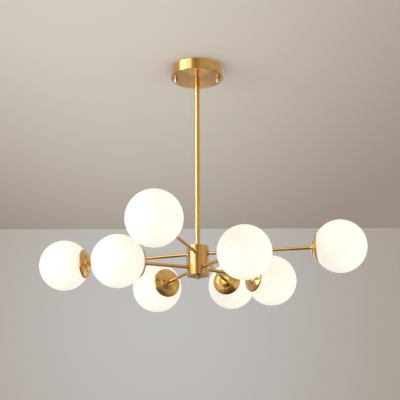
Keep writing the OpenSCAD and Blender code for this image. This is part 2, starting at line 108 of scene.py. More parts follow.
def arcOutline(radius, fromAngle, toAngle, count):
    # Points on a circle round the origin: radius times the sine and cosine of the angle from local Z.
    angle = np.radians(np.linspace(fromAngle, toAngle, count))
    return np.column_stack([radius * np.sin(angle), radius * np.cos(angle)])


def angleOn(radius, across):
    # The angle from local Z, in degrees, where a sphere of that radius is so far across from the axis.
    return math.degrees(math.asin(across / radius))


def turnAngles(around):
    return np.arange(around) * 2 * math.pi / around


def gridMesh(name, points, closedRows):
    # A grid of rows by columns joined by quads. Columns wrap round, and rows too where closedRows.
    # The map "turned" holds metres along the profile (U) and the share of a turn (V).
    rows, columns = points.shape[:2]
    index = np.arange(rows * columns).reshape(rows, columns)
    lower = index if closedRows else index[:-1]
    upper = np.roll(index, -1, axis=0) if closedRows else index[1:]
    bands = len(lower)
    faces = np.stack([lower, np.roll(lower, -1, axis=1), np.roll(upper, -1, axis=1), upper], -1)
    faces = faces.reshape(-1, 4)
    stepLength = np.linalg.norm(np.roll(points, -1, axis=0) - points, axis=2).mean(1)
    along = np.concatenate([[0], np.cumsum(stepLength)])
    alongLow = along[:bands, None] + np.zeros(columns)
    alongHigh = along[1:bands + 1, None] + np.zeros(columns)
    turnLow = np.zeros((bands, 1)) + np.arange(columns) / columns
    turnHigh = turnLow + 1 / columns
    uv = np.stack([np.stack([alongLow, alongLow, alongHigh, alongHigh], -1),
                   np.stack([turnLow, turnHigh, turnHigh, turnLow], -1)], -1).reshape(-1, 4, 2)
    corners = points.reshape(-1, 3)
    first, second, third, fourth = (corners[faces[:, place]] for place in range(4))
    enclosed = (first * np.cross(second, third)).sum() + (first * np.cross(third, fourth)).sum()
    if enclosed < 0:  # the faces point inwards
        faces, uv = faces[:, ::-1], uv[:, ::-1]
    mesh = bpy.data.meshes.new(name)
    mesh.vertices.add(len(corners))
    mesh.vertices.foreach_set("co", corners.astype(np.float32).ravel())
    mesh.loops.add(faces.size)
    mesh.loops.foreach_set("vertex_index", faces.astype(np.int32).ravel())
    mesh.polygons.add(len(faces))
    mesh.polygons.foreach_set("loop_start", np.arange(0, faces.size, 4, dtype=np.int32))
    mesh.update(calc_edges=True)
    layer = mesh.uv_layers.new(name="turned")
    layer.data.foreach_set("uv", uv.astype(np.float32).ravel())
    if not closedRows:  # the first and last rows are poles, whose points become one
        tool = bmesh.new()
        tool.from_mesh(mesh)
        bmesh.ops.remove_doubles(tool, verts=tool.verts, dist=1e-7)  # metres
        tool.to_mesh(mesh)
        tool.free()
    mesh.polygons.foreach_set("use_smooth", np.ones(len(mesh.polygons), bool))
    mesh.validate()
    return mesh


def turnedMesh(name, outline, around=96, closed=True, thread=None):
    # x = r cos a, y = r sin a, z = h for each outline point (r, h) in mm and each angle a.
    # A thread lifts r by a ridge that climbs one pitch in each turn: a cosine wave between 0 and 1, raised
    # to a power, that fades out at both ends. Only the outer wall between the thread's ends gets it.
    outline = np.asarray(outline, float)
    angle = turnAngles(around)
    radius = outline[:, :1] + np.zeros(around)
    height = outline[:, 1:] + np.zeros(around)
    if thread:
        ridge = np.cos(2 * math.pi * (height / thread["pitch"] - angle / (2 * math.pi))) * 0.5 + 0.5
        toEnd = np.minimum(height - thread["low"], thread["high"] - height)
        fade = np.clip(toEnd / (thread["pitch"] * thread["fade"]), 0, 1)
        threaded = (outline[:, 1] > thread["low"]) & (outline[:, 1] < thread["high"])
        outside = radius > outline[threaded, 0].max() - thread["skin"]
        radius = radius + thread["depth"] * ridge ** thread["sharpness"] * fade * outside
    points = np.stack([radius * np.cos(angle), radius * np.sin(angle), height], -1) * mm
    return gridMesh(name, points, closed)


def addPiece(name, mesh, matrix, material, body, replaces=None):
    mesh.transform(matrix)
    piece = bpy.data.objects.new(name, mesh)
    bpy.context.scene.collection.objects.link(piece)
    mesh.materials.append(material)
    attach(piece, body)
    if replaces:
        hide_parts(replaces)
    return piece


floatSocket, colorSocket, vectorSocket = "NodeSocketFloat", "NodeSocketColor", "NodeSocketVector"
finishOutputs = [("Colour", colorSocket), ("Roughness", floatSocket), ("Normal", vectorSocket)]


def newGroup(name, inputs, outputs):
    group = bpy.data.node_groups.new(name, "ShaderNodeTree")
    for label, kind, value in inputs:
        socket = group.interface.new_socket(label, in_out="INPUT", socket_type=kind)
        socket.default_value = value
    for label, kind in outputs:
        group.interface.new_socket(label, in_out="OUTPUT", socket_type=kind)
    start = group.nodes.new("NodeGroupInput")
    end = group.nodes.new("NodeGroupOutput")
    return group, start, end


def putOut(group, end, **results):
    for label, socket in results.items():
        group.links.new(socket, end.inputs[label])


def addNode(tree, kind, settings=None, **sockets):
    # A socket is named by its label, or by its place: i0 is the first input. A socket as value is linked.
    node = tree.nodes.new(kind)
    for key, value in (settings or {}).items():
        setattr(node, key, value)
    for key, value in sockets.items():
        place = int(key[1:]) if key[1:].isdigit() else key.replace("_", " ")
        if isinstance(value, bpy.types.NodeSocket):
            tree.links.new(value, node.inputs[place])
        else:
            node.inputs[place].default_value = value
    return node


def mathNode(tree, operation, first, second=0.0, third=0.0):
    settings = dict(operation=operation)
    return addNode(tree, "ShaderNodeMath", settings, i0=first, i1=second, i2=third).outputs[0]


def spread(tree, value, low, high):
    # Moves a 0 to 1 value to low to high.
    return addNode(tree, "ShaderNodeMapRange", i0=value, i3=low, i4=high).outputs[0]


def smoothStep(tree, value, fromLow, fromHigh, toLow=0.0, toHigh=1.0):
    settings = dict(interpolation_type="SMOOTHSTEP")
    limits = dict(i1=fromLow, i2=fromHigh, i3=toLow, i4=toHigh)
    return addNode(tree, "ShaderNodeMapRange", settings, i0=value, **limits).outputs[0]


def mixColors(tree, share, first, second):
    return addNode(tree, "ShaderNodeMix", dict(data_type="RGBA"), i0=share, i6=first, i7=second).outputs[2]


def noise(tree, vector, **settings):
    return addNode(tree, "ShaderNodeTexNoise", Vector=vector, **settings).outputs[0]


def bumped(tree, height, strength, distance):
    # The distance is how far, in metres, the full height stands out.
    return addNode(tree, "ShaderNodeBump", Strength=strength, Distance=distance, Height=height).outputs[0]


def makeTurnedFinish():
    # Fine lathe lines: noise that is dense along the profile (U) and long round the turn (V).
    group, start, end = newGroup("turnedFinish", [
        ("Colour", colorSocket, (0.8, 0.5, 0.16, 1)), ("Line Colour", colorSocket, (0.6, 0.36, 0.1, 1)),
        ("Lines", floatSocket, 2600.0), ("Breakup", floatSocket, 1.6),
        ("Roughness", floatSocket, 0.3), ("Roughness Spread", floatSocket, 0.08),
        ("Depth", floatSocket, 0.1), ("Handling", floatSocket, 0.3)], finishOutputs)
    read = start.outputs
    place = addNode(group, "ShaderNodeUVMap", dict(uv_map="turned"))
    parts = addNode(group, "ShaderNodeSeparateXYZ", i0=place.outputs[0]).outputs
    turn = mathNode(group, "MULTIPLY", parts[1], 2 * math.pi)
    across = mathNode(group, "MULTIPLY", parts[0], read["Lines"])
    ring = [mathNode(group, "MULTIPLY", mathNode(group, wave, turn), read["Breakup"])
            for wave in ("COSINE", "SINE")]
    vector = addNode(group, "ShaderNodeCombineXYZ", i0=across, i1=ring[0], i2=ring[1]).outputs[0]
    lines = noise(group, vector, Scale=1.0, Detail=3.0, Roughness=0.65)
    objectPlace = addNode(group, "ShaderNodeTexCoord").outputs["Object"]
    smear = noise(group, objectPlace, Scale=38.0, Detail=4.0, Roughness=0.6)
    smearMask = mathNode(group, "MULTIPLY", spread(group, smear, low=-0.7, high=1.7), read["Handling"])
    contrast = spread(group, lines, low=-0.6, high=1.6)
    tone = mixColors(group, contrast, read["Line Colour"], read["Colour"])
    roughness = mathNode(group, "MULTIPLY_ADD", mathNode(group, "ADD", contrast, smearMask),
                         read["Roughness Spread"], read["Roughness"])
    normal = bumped(group, lines, read["Depth"], distance=0.0001)
    putOut(group, end, Colour=tone, Roughness=roughness, Normal=normal)
    return group


def makeGrain():
    # Cloudy colour and roughness, with a fine grain in the normal, on the object's own coordinates.
    group, start, end = newGroup("grain", [
        ("Colour", colorSocket, (0.6, 0.6, 0.6, 1)), ("Second Colour", colorSocket, (0.5, 0.5, 0.5, 1)),
        ("Cloud Scale", floatSocket, 60.0), ("Grain Scale", floatSocket, 1400.0),
        ("Roughness", floatSocket, 0.4), ("Roughness Spread", floatSocket, 0.1),
        ("Depth", floatSocket, 0.1)], finishOutputs)
    read = start.outputs
    place = addNode(group, "ShaderNodeTexCoord").outputs["Object"]
    cloud = noise(group, place, Scale=read["Cloud Scale"], Detail=5.0)
    fine = noise(group, place, Scale=read["Grain Scale"], Detail=2.0)
    mask = spread(group, cloud, low=-0.5, high=1.5)
    tone = mixColors(group, mask, read["Colour"], read["Second Colour"])
    roughness = mathNode(group, "MULTIPLY_ADD", mask, read["Roughness Spread"], read["Roughness"])
    normal = bumped(group, fine, read["Depth"], distance=0.0001)
    putOut(group, end, Colour=tone, Roughness=roughness, Normal=normal)
    return group


def makeOpalGlow():
    # Opal glass lit from inside: slow clouds in the white and in its warm glow, and a faint ripple.
    group, start, end = newGroup("opalGlow", [
        ("White", colorSocket, (1, 1, 1, 1)), ("Thin White", colorSocket, (0.9, 0.9, 0.9, 1)),
        ("Lit", colorSocket, (1, 0.9, 0.7, 1)), ("Mottle", floatSocket, 0.1),
        ("Roughness", floatSocket, 0.25), ("Ripple", floatSocket, 0.04)],
        finishOutputs + [("Glow", colorSocket)])
    read = start.outputs
    place = addNode(group, "ShaderNodeTexCoord").outputs["Object"]
    cloud = noise(group, place, Scale=14.0, Detail=3.0)
    mask = mathNode(group, "MULTIPLY", cloud, read["Mottle"])
    tone = mixColors(group, mask, read["White"], read["Thin White"])
    lit = mixColors(group, mask, read["Lit"], read["White"])
    roughness = mathNode(group, "MULTIPLY_ADD", cloud, 0.1, read["Roughness"])  # clouds add up to 0.1
    ripple = noise(group, place, Scale=45.0, Detail=1.0)
    normal = bumped(group, ripple, read["Ripple"], distance=0.0004)
    putOut(group, end, Colour=tone, Glow=lit, Roughness=roughness, Normal=normal)
    return group


turnedFinish, grain, opalGlow = makeTurnedFinish(), makeGrain(), makeOpalGlow()
print("shader groups made")


def tint(red, green, blue):
    # A colour as it is seen on a screen, 0 to 255, as the shader's own linear values.
    seen = np.array([red, green, blue]) / 255
    linear = np.where(seen <= 0.04045, seen / 12.92, ((seen + 0.055) / 1.055) ** 2.4)
    return (*[float(v) for v in linear], 1.0)


def newMaterial(name, group, groupValues, constants, turned=False):
    # The group feeds what changes over the surface; everything else is set on the shader's own sockets.
    # A turned metal's highlights stretch across its grooves, which run round the turn.
    material = bpy.data.materials.new(name)
    material.use_nodes = True
    tree = material.node_tree
    shader = tree.nodes["Principled BSDF"]
    finish = tree.nodes.new("ShaderNodeGroup")
    finish.node_tree = group
    for key, value in groupValues.items():
        finish.inputs[key].default_value = value
    for label, target in (("Colour", "Base Color"), ("Roughness", "Roughness"), ("Normal", "Normal")):
        tree.links.new(finish.outputs[label], shader.inputs[target])
    for key, value in constants.items():
        shader.inputs[key].default_value = value
    if turned:
        grooves = addNode(tree, "ShaderNodeTangent", dict(direction_type="UV_MAP", uv_map="turned"))
        tree.links.new(grooves.outputs[0], shader.inputs["Tangent"])
    return material


brassTones = dict(
    light=tint(242, 189, 82), line=tint(208, 146, 42),
    # deep and deepLine: the cover plate's brass made darker, a painted shade on the hub's downward-facing
    # underside.
    deep=tint(206, 156, 86), deepLine=tint(176, 128, 68),
    pale=tint(232, 206, 138), paleLine=tint(206, 172, 104),
    cast=tint(226, 184, 112), castCloud=tint(198, 152, 84))
spunBrass = newMaterial("spunBrass", turnedFinish, {
    "Colour": brassTones["light"], "Line Colour": brassTones["line"], "Lines": 1500.0, "Breakup": 1.4,
    "Roughness": 0.34, "Roughness Spread": 0.06, "Depth": 0.05, "Handling": 0.35}, {
    "Metallic": 1.0, "Anisotropic": 0.85, "Coat Weight": 1.0, "Coat Roughness": 0.09, "Coat IOR": 1.85},
    turned=True)
drawnBrass = newMaterial("drawnBrass", turnedFinish, {
    "Colour": brassTones["light"], "Line Colour": brassTones["line"], "Lines": 1800.0, "Breakup": 1.2,
    "Roughness": 0.27, "Roughness Spread": 0.05, "Depth": 0.006, "Handling": 0.35}, {
    "Metallic": 1.0, "Anisotropic": 0.6, "Coat Weight": 1.0, "Coat Roughness": 0.08, "Coat IOR": 1.85},
    turned=True)
polishedBrass = newMaterial("polishedBrass", turnedFinish, {
    "Colour": brassTones["light"], "Line Colour": brassTones["line"], "Lines": 2200.0, "Breakup": 2.4,
    "Roughness": 0.22, "Roughness Spread": 0.05, "Depth": 0.006, "Handling": 0.4}, {
    "Metallic": 1.0, "Anisotropic": 0.6, "Coat Weight": 1.0, "Coat Roughness": 0.08, "Coat IOR": 1.85},
    turned=True)
# The same brass in a darker tone for the downward-facing cover plate: the darkness is painted shade.
shadedCoverBrass = newMaterial("shadedCoverBrass", turnedFinish, {
    "Colour": brassTones["deep"], "Line Colour": brassTones["deepLine"], "Lines": 1500.0, "Breakup": 2.0,
    "Roughness": 0.36, "Roughness Spread": 0.1, "Depth": 0.16, "Handling": 0.4}, {
    "Metallic": 1.0, "Anisotropic": 0.8, "Coat Weight": 0.5, "Coat Roughness": 0.3, "Coat IOR": 1.8},
    turned=True)
nutBrass = newMaterial("nutBrass", turnedFinish, {
    "Colour": brassTones["pale"], "Line Colour": brassTones["paleLine"], "Lines": 1800.0, "Breakup": 1.6,
    "Roughness": 0.34, "Roughness Spread": 0.08, "Depth": 0.03, "Handling": 0.4}, {
    "Metallic": 1.0, "Anisotropic": 0.6, "Coat Weight": 1.0, "Coat Roughness": 0.1, "Coat IOR": 1.8},
    turned=True)
platedSteel = newMaterial("platedSteel", grain, {
    "Colour": tint(186, 188, 190), "Second Colour": tint(160, 160, 158),
    "Cloud Scale": 90.0, "Grain Scale": 1800.0,
    "Roughness": 0.28, "Roughness Spread": 0.16, "Depth": 0.18}, {"Metallic": 1.0})
glazedCeramic = newMaterial("glazedCeramic", grain, {
    "Colour": tint(236, 233, 224), "Second Colour": tint(226, 221, 208),
    "Cloud Scale": 70.0, "Grain Scale": 500.0,
    "Roughness": 0.16, "Roughness Spread": 0.12, "Depth": 0.12}, {"Coat Weight": 0.3, "Coat Roughness": 0.05})
blackSheath = newMaterial("blackSheath", grain, {
    "Colour": tint(34, 33, 32), "Second Colour": tint(46, 45, 43),
    "Cloud Scale": 120.0, "Grain Scale": 2400.0,
    "Roughness": 0.48, "Roughness Spread": 0.15, "Depth": 0.3}, {})
mouldedBlack = newMaterial("mouldedBlack", grain, {
    "Colour": tint(40, 40, 41), "Second Colour": tint(52, 51, 50),
    "Cloud Scale": 80.0, "Grain Scale": 3000.0,
    "Roughness": 0.36, "Roughness Spread": 0.12, "Depth": 0.25}, {})
whiteSheath = newMaterial("whiteSheath", grain, {
    "Colour": tint(228, 226, 218), "Second Colour": tint(214, 210, 198),
    "Cloud Scale": 120.0, "Grain Scale": 2400.0,
    "Roughness": 0.42, "Roughness Spread": 0.12, "Depth": 0.2}, {})
pinMetal = newMaterial("pinMetal", grain, {
    "Colour": tint(206, 204, 198), "Second Colour": tint(178, 176, 168),
    "Cloud Scale": 200.0, "Grain Scale": 2600.0,
    "Roughness": 0.22, "Roughness Spread": 0.14, "Depth": 0.12}, {"Metallic": 1.0})
castBrass = newMaterial("castBrass", grain, {
    "Colour": brassTones["cast"], "Second Colour": brassTones["castCloud"],
    "Cloud Scale": 150.0, "Grain Scale": 1600.0,
    "Roughness": 0.26, "Roughness Spread": 0.14, "Depth": 0.1}, {"Metallic": 1.0})


def glowMaterial(name, values, constants, strength):
    # The group's glow feeds the emission of the lit glass.
    material = newMaterial(name, opalGlow, values, constants)
    tree = material.node_tree
    shader = tree.nodes["Principled BSDF"]
    finish = next(node for node in tree.nodes if node.type == "GROUP")
    tree.links.new(finish.outputs["Glow"], shader.inputs["Emission Color"])
    shader.inputs["Emission Strength"].default_value = strength
    return material


opalGlass = glowMaterial("opalGlass", {
    "White": tint(228, 226, 219), "Thin White": tint(220, 216, 204), "Lit": tint(255, 248, 226),
    "Mottle": 0.5, "Roughness": 0.25, "Ripple": 0.03}, {"Specular IOR Level": 0.4}, strength=0.34)
frostedBulb = glowMaterial("frostedBulb", {
    "White": tint(236, 233, 224), "Thin White": tint(226, 222, 210), "Lit": tint(255, 240, 208),
    "Mottle": 0.6, "Roughness": 0.4, "Ripple": 0.1}, {"Specular IOR Level": 0.5}, strength=1.4)
print("materials made")

# The sizes of all pieces are in mm. These four are edge roundings that many of them share.
sharp, crisp, eased, soft = 0.1, 0.15, 0.2, 0.3
stem = dict(radius=6.35, bore=5.05, seamEdge=0.4, top=-27, seam=-281, foot=-451)
canopy = dict(radius=64, height=27, sheet=1.2, edge=2.5, bore=5.15, lip=0.35, steps=10, around=256)
capNut = dict(radius=5, height=11.5, neckStep=0.8, neck=1.2, shoulder=0.1, shoulderEdge=0.35, edge=2.4,
              pitch=102.6, around=64)


def stemPieces():
    radius, bore = stem["radius"], stem["bore"]
    for name, node, high, low, highEdge, lowEdge in (
            ("upperStemTube", "upper_stem", stem["top"], stem["seam"], crisp, stem["seamEdge"]),
            ("lowerStemTube", "lower_stem", stem["seam"], stem["foot"], stem["seamEdge"], crisp)):
        outline = roundedOutline([
            (radius, high, highEdge), (radius, low, lowEdge), (bore, low, sharp), (bore, high, sharp)])
        addPiece(name, turnedMesh(name, outline), upright, drawnBrass, "frame", node)


def canopyPiece():
    name = "canopyShell"
    radius, bore, sheet = canopy["radius"], canopy["bore"], canopy["sheet"]
    floor = -canopy["height"]
    outline = roundedOutline([
        (radius, 0, canopy["lip"]), (radius, floor, canopy["edge"]), (bore, floor, eased),
        (bore, floor + sheet, eased), (radius - sheet, floor + sheet, canopy["edge"] - sheet),
        (radius - sheet, 0, soft)], canopy["steps"])
    mesh = turnedMesh(name, outline, canopy["around"])
    addPiece(name, mesh, upright, spunBrass, "frame", "canopy")


def capNutPieces():
    radius, foot, neckFoot = capNut["radius"], -capNut["height"], -capNut["neck"]
    neck = radius - capNut["neckStep"]
    outline = roundedOutline([
        (0, 0, sharp), (neck, 0, crisp), (neck, neckFoot, crisp),
        (radius, neckFoot - capNut["shoulder"], capNut["shoulderEdge"]),
        (radius, foot, capNut["edge"]), (0, foot, sharp)], closed=False)
    for label, side in (("Left", -1), ("Right", 1)):
        name = "capNut" + label
        place = Matrix.Translation((side * capNut["pitch"] / 2 * mm, 0, -canopy["height"] * mm))
        mesh = turnedMesh(name, outline, capNut["around"], closed=False)
        addPiece(name, mesh, place, nutBrass, "frame", "cap_nuts")


stemPieces()
canopyPiece()
capNutPieces()
print("stem and canopy made")

hub = dict(radius=26.25, top=-451, foot=-521, inner=22.25, topSheet=3.5, edge=1.5, sheetEdge=0.5,
           recess=23.95, recessHeight=3.5, steps=8, around=192)
well = dict(radius=5.6, depth=2, bore=4.05, cutter=20, around=48)  # the counterbore round each arm
cover = dict(radius=23.85, thick=3, inset=0.5, bore=2.55, around=160)
finial = dict(radius=6.4, height=8, edge=1.5, stud=2.5, studUp=2, steps=8, around=80)
hardCorner = 35  # degrees; a sharper fold in a cut mesh isn't smoothed over


def subtract(piece, cutters):
    # Takes the cutters out of the piece, keeps the result as its mesh, and makes hard corners sharp.
    for cutter in cutters:
        change = piece.modifiers.new("cut", "BOOLEAN")
        change.operation, change.solver, change.object = "DIFFERENCE", "EXACT", cutter
    shown = piece.evaluated_get(bpy.context.evaluated_depsgraph_get())
    mesh = bpy.data.meshes.new_from_object(shown)
    piece.modifiers.clear()
    piece.data = mesh
    mesh.set_sharp_from_angle(angle=math.radians(hardCorner))
    for cutter in cutters:
        bpy.data.objects.remove(cutter)


def wellCutter(lamp):
    # A counterbore from outside the hub's wall, and the arm's bore from its floor into the hollow hub.
    name = "well%d" % lamp["number"]
    floor = lamp["reach"] - hub["radius"] + well["depth"]
    start, end = floor - well["cutter"], lamp["reach"] - hub["inner"] / 2
    outline = np.array([(0, start), (well["radius"], start), (well["radius"], floor), (well["bore"], floor),
                        (well["bore"], end), (0, end)])
    cutter = bpy.data.objects.new(name, turnedMesh(name, outline, well["around"], closed=False))
    cutter.data.transform(lamp["matrix"])
    bpy.context.scene.collection.objects.link(cutter)
    return cutter


def hubPiece():
    name = "hubShell"
    top, foot = hub["top"], hub["foot"]
    ledge, ceiling = foot + hub["recessHeight"], top - hub["topSheet"]
    outline = roundedOutline([
        (hub["radius"], top, hub["edge"]), (hub["radius"], foot, soft), (hub["recess"], foot, crisp),
        (hub["recess"], ledge, sharp), (hub["inner"], ledge, eased),
        (hub["inner"], ceiling, hub["sheetEdge"]), (stem["bore"], ceiling, eased),
        (stem["bore"], top, eased)], hub["steps"])
    mesh = turnedMesh(name, outline, hub["around"])
    piece = addPiece(name, mesh, upright, spunBrass, "frame", "hub_body")
    subtract(piece, [wellCutter(lamp) for lamp in lamps])


def coverPieces():
    low = hub["foot"] + cover["inset"]
    top = low + cover["thick"]
    name = "hubCoverPlate"
    outline = roundedOutline([
        (cover["radius"], top, crisp), (cover["radius"], low, soft), (cover["bore"], low, crisp),
        (cover["bore"], top, crisp)])
    mesh = turnedMesh(name, outline, cover["around"])
    addPiece(name, mesh, upright, shadedCoverBrass, "frame", "hub_cover")
    name = "hubFinialKnob"
    radius, studTop, end = finial["radius"], top + finial["studUp"], low - finial["height"]
    outline = roundedOutline([
        (0, studTop, sharp), (finial["stud"], studTop, soft), (finial["stud"], low, sharp),
        (radius, low, soft), (radius, end, finial["edge"]), (0, end, sharp)], finial["steps"], closed=False)
    mesh = turnedMesh(name, outline, finial["around"], closed=False)
    addPiece(name, mesh, upright, spunBrass, "frame", "hub_finial")


hubPiece()
coverPieces()
print("hub made")

# On each lamp's own axis, heights are in mm from the globe's centre back to the hub. A screw's first place
# round the axis is in degrees, and the turn of its cross in radians.
arm = dict(radius=4, bore=2.8, farEnd=57.46, hubEnd=18.05, around=64)
ferrule = dict(radius=6, length=1.5, bore=4.05, edge=0.45, around=64)
cup = dict(rimLevel=50.5, rimRadius=34.75, rimWidth=2, rimThick=1.8, rimInEdge=0.35, rimOutEdge=0.6,
           rimTopEdge=0.7, edgeRadius=33.95, bowl=63.5, bowlInner=62.3, bowlEdge=0.35, raised=19.4,
           raisedInner=18.2, raisedFoot=59.5, step=61.66, stepEdge=0.7, cone=66.66, coneEnd=9.11,
           coneEdge=0.8, innerEdge=0.4, seat=65.46, sheet=1.2, bowlStop=0.5, bowlRows=22, bowlInnerRows=18,
           around=160)
globe = dict(radius=60, glass=2.5, neck=16.4, neckTop=61.48, lipOut=0.5, lipIn=0.8, lipRoom=0.6,
             outerRows=96, innerRows=72, wallRows=22, around=160)
globeThread = dict(low=58.2, high=globe["neckTop"] - 0.4, pitch=2.6, depth=0.22, fade=0.35, sharpness=1.6,
                   skin=0.05)
bulb = dict(tip=2.46, radius=8, base=31.46, baseEdge=0.8, baseStep=0.8, baseTop=38.36, topEdge=0.5,
            groove=(2.2, 2.6, 3.2, 3.6), grooveDepth=0.4, domeRows=20, around=72)
pin = dict(pitch=9, width=2.6, thick=0.8, root=bulb["baseTop"] - 1, end=52.46, tip=1.2, power=1 / 3,
           rootEdge=0.05, shaftRows=4, tipRows=8, tipStart=0.15, around=32)
screw = dict(circle=21.7, first=46, shank=1.25, length=2.4, head=2.2, height=1.5, edge=0.68, crown=0.05,
             slot=0.28, slotReach=1.25, slotDepth=0.75, slotTurn=0.4, flatRings=12, edgeRings=5,
             edgeStart=0.2, around=48)


def cupOutline():
    # The rim band, the outer bowl, the raised centre with its cone, and back along the inside of the sheet.
    # The cone's inner face is its outer face moved square to itself by the sheet. The same move, measured
    # along the axis, is the sheet times the square root of 1 plus the slope squared.
    rimLevel, rimOut, bore = cup["rimLevel"], cup["rimRadius"], ferrule["bore"]
    rimTop, rimIn = rimLevel + cup["rimWidth"], rimOut - cup["rimThick"]
    slope = (cup["cone"] - cup["step"]) / (cup["raised"] - cup["coneEnd"])
    shift = cup["sheet"] * math.hypot(1, slope)
    innerStep = cup["step"] + (cup["raised"] - cup["raisedInner"]) * slope - shift
    innerEnd = cup["raised"] - (cup["seat"] - cup["step"] + shift) / slope
    rim = partOutline([
        (rimIn, rimLevel, cup["rimInEdge"]), (rimOut, rimLevel, cup["rimOutEdge"]),
        (rimOut, rimTop, cup["rimTopEdge"]), (cup["edgeRadius"] - 1, rimTop, sharp), (rimIn, rimTop, sharp)],
        steps=7, leaveOut=(0, 21))
    bowlOut = arcOutline(cup["bowl"], angleOn(cup["bowl"], cup["edgeRadius"] - crisp),
                         angleOn(cup["bowl"], cup["raised"] + cup["bowlStop"]), cup["bowlRows"])
    bowlFoot = bowlOut[-1][1]
    raised = partOutline([
        (cup["raised"] + 3, bowlFoot - 1, sharp), (cup["raised"], bowlFoot, cup["bowlEdge"]),
        (cup["raised"], cup["step"], cup["stepEdge"]), (cup["coneEnd"], cup["cone"], cup["coneEdge"]),
        (bore, cup["cone"], sharp), (bore, cup["seat"], sharp), (innerEnd, cup["seat"], cup["innerEdge"]),
        (cup["raisedInner"], innerStep, cup["innerEdge"]), (cup["raisedInner"], cup["raisedFoot"], sharp)],
        steps=6, leaveOut=(9, 2))
    bowlIn = arcOutline(cup["bowlInner"], angleOn(cup["bowlInner"], cup["raisedInner"] + eased),
                        angleOn(cup["bowlInner"], rimIn - sharp), cup["bowlInnerRows"])
    return np.vstack([rim, bowlOut, raised, bowlIn])


def globeOutline():
    # Outer sphere from the far pole to the neck, over its lip, and back on the inner sphere.
    # The neck's wall has rows close enough together to carry the thread.
    outer, inner = globe["radius"], globe["radius"] - globe["glass"]
    neck, neckTop = globe["neck"], globe["neckTop"]
    neckIn = neck - globe["glass"]
    shoulder = math.sqrt(outer ** 2 - neck ** 2)
    heights = np.linspace(shoulder + sharp, neckTop - globe["lipRoom"], globe["wallRows"])
    neckWall = np.column_stack([np.full(len(heights), neck), heights])
    lip = partOutline([
        (neck, shoulder, sharp), (neck, neckTop, globe["lipOut"]), (neckIn, neckTop, globe["lipIn"]),
        (neckIn, shoulder - 2, sharp)], steps=6, leaveOut=(9, 9))
    outside = arcOutline(outer, 180, angleOn(outer, neck + crisp), globe["outerRows"])
    inside = arcOutline(inner, angleOn(inner, neckIn + sharp), 180, globe["innerRows"])
    outside[0, 0] = inside[-1, 0] = 0  # the poles stand exactly on the axis
    return np.vstack([outside, neckWall, lip, inside])


def bulbOutlines():
    # A capsule with a round end and a stepped foot, and the grooved ceramic base that it stands in.
    radius, low, top = bulb["radius"], bulb["base"], bulb["baseTop"]
    neck, middle = radius - bulb["baseStep"], bulb["tip"] + radius
    inGroove = neck - bulb["grooveDepth"]
    dome = arcOutline(radius, 180, 95, bulb["domeRows"]) + np.array([0, middle])
    dome[0, 0] = 0
    foot = roundedOutline([
        (radius, middle + 1, sharp), (radius, low, bulb["baseEdge"]), (neck, low, sharp), (0, low, sharp)],
        closed=False)
    fromHigh, toLow, fromLow, toHigh = (low + place for place in bulb["groove"])
    base = roundedOutline([
        (0, low, sharp), (neck, low, eased), (neck, fromHigh, sharp), (inGroove, toLow, sharp),
        (inGroove, fromLow, sharp), (neck, toHigh, sharp), (neck, top, bulb["topEdge"]), (0, top, sharp)],
        closed=False)
    return np.vstack([dome, foot[1:]]), base


def pinMesh(name):
    # A flat bar on local Z. Its section is a superellipse: the sine and cosine of the turn, raised to a
    # small power with their signs kept. At the tip it shrinks by the root of a cosine.
    angle = turnAngles(pin["around"])
    low, high, tip = pin["root"], pin["end"], pin["tip"]
    shaft = np.linspace(low + pin["rootEdge"], high - tip, pin["shaftRows"])
    taper = high - tip + tip * np.sin(np.linspace(pin["tipStart"], 1, pin["tipRows"]) * math.pi / 2)
    height = np.concatenate([[low], shaft, taper, [high]])
    width = np.clip(np.cos(np.clip((height - high + tip) / tip, 0, 1) * math.pi / 2), 0, 1) ** 0.5
    width[0] = 0
    across = np.sign(np.cos(angle)) * np.abs(np.cos(angle)) ** pin["power"]
    deep = np.sign(np.sin(angle)) * np.abs(np.sin(angle)) ** pin["power"]
    points = np.stack([pin["thick"] / 2 * width[:, None] * deep, pin["width"] / 2 * width[:, None] * across,
                       height[:, None] + np.zeros(pin["around"])], -1) * mm
    return gridMesh(name, points, False)


def screwMesh(name):
    # A domed head: its height falls with the square of the radius and rounds off at the edge, less a
    # cross-shaped recess. It is flat below, on a short shank.
    angle = turnAngles(screw["around"])
    edge, flat = screw["edge"], screw["head"] - screw["edge"]
    edgeTurn = np.linspace(screw["edgeStart"], 1, screw["edgeRings"]) * math.pi / 2
    rings = np.concatenate([np.linspace(0, flat, screw["flatRings"]), flat + edge * np.sin(edgeTurn)])
    x, y = rings[:, None] * np.cos(angle), rings[:, None] * np.sin(angle)
    past = np.clip((rings - screw["head"] + edge) / edge, 0, 1)[:, None]
    dome = screw["height"] - edge * (1 - np.sqrt(1 - past ** 2)) - screw["crown"] * (x ** 2 + y ** 2)
    near, far = np.minimum(np.abs(x), np.abs(y)), np.maximum(np.abs(x), np.abs(y))
    recess = (near < screw["slot"]) & (far < screw["slotReach"])
    head = np.stack([x, y, dome - screw["slotDepth"] * recess], -1)
    shank, end = screw["shank"], -screw["length"]
    below = np.array([(screw["head"], sharp), (screw["head"] - sharp, 0), (shank, 0), (shank, end), (0, end)])
    rest = np.stack([below[:, :1] * np.cos(angle), below[:, :1] * np.sin(angle),
                     below[:, 1:] + np.zeros(screw["around"])], -1)
    return gridMesh(name, np.concatenate([head, rest]) * mm, False)


cupLine, globeLine = cupOutline(), globeOutline()
bulbGlassLine, bulbBaseLine = bulbOutlines()


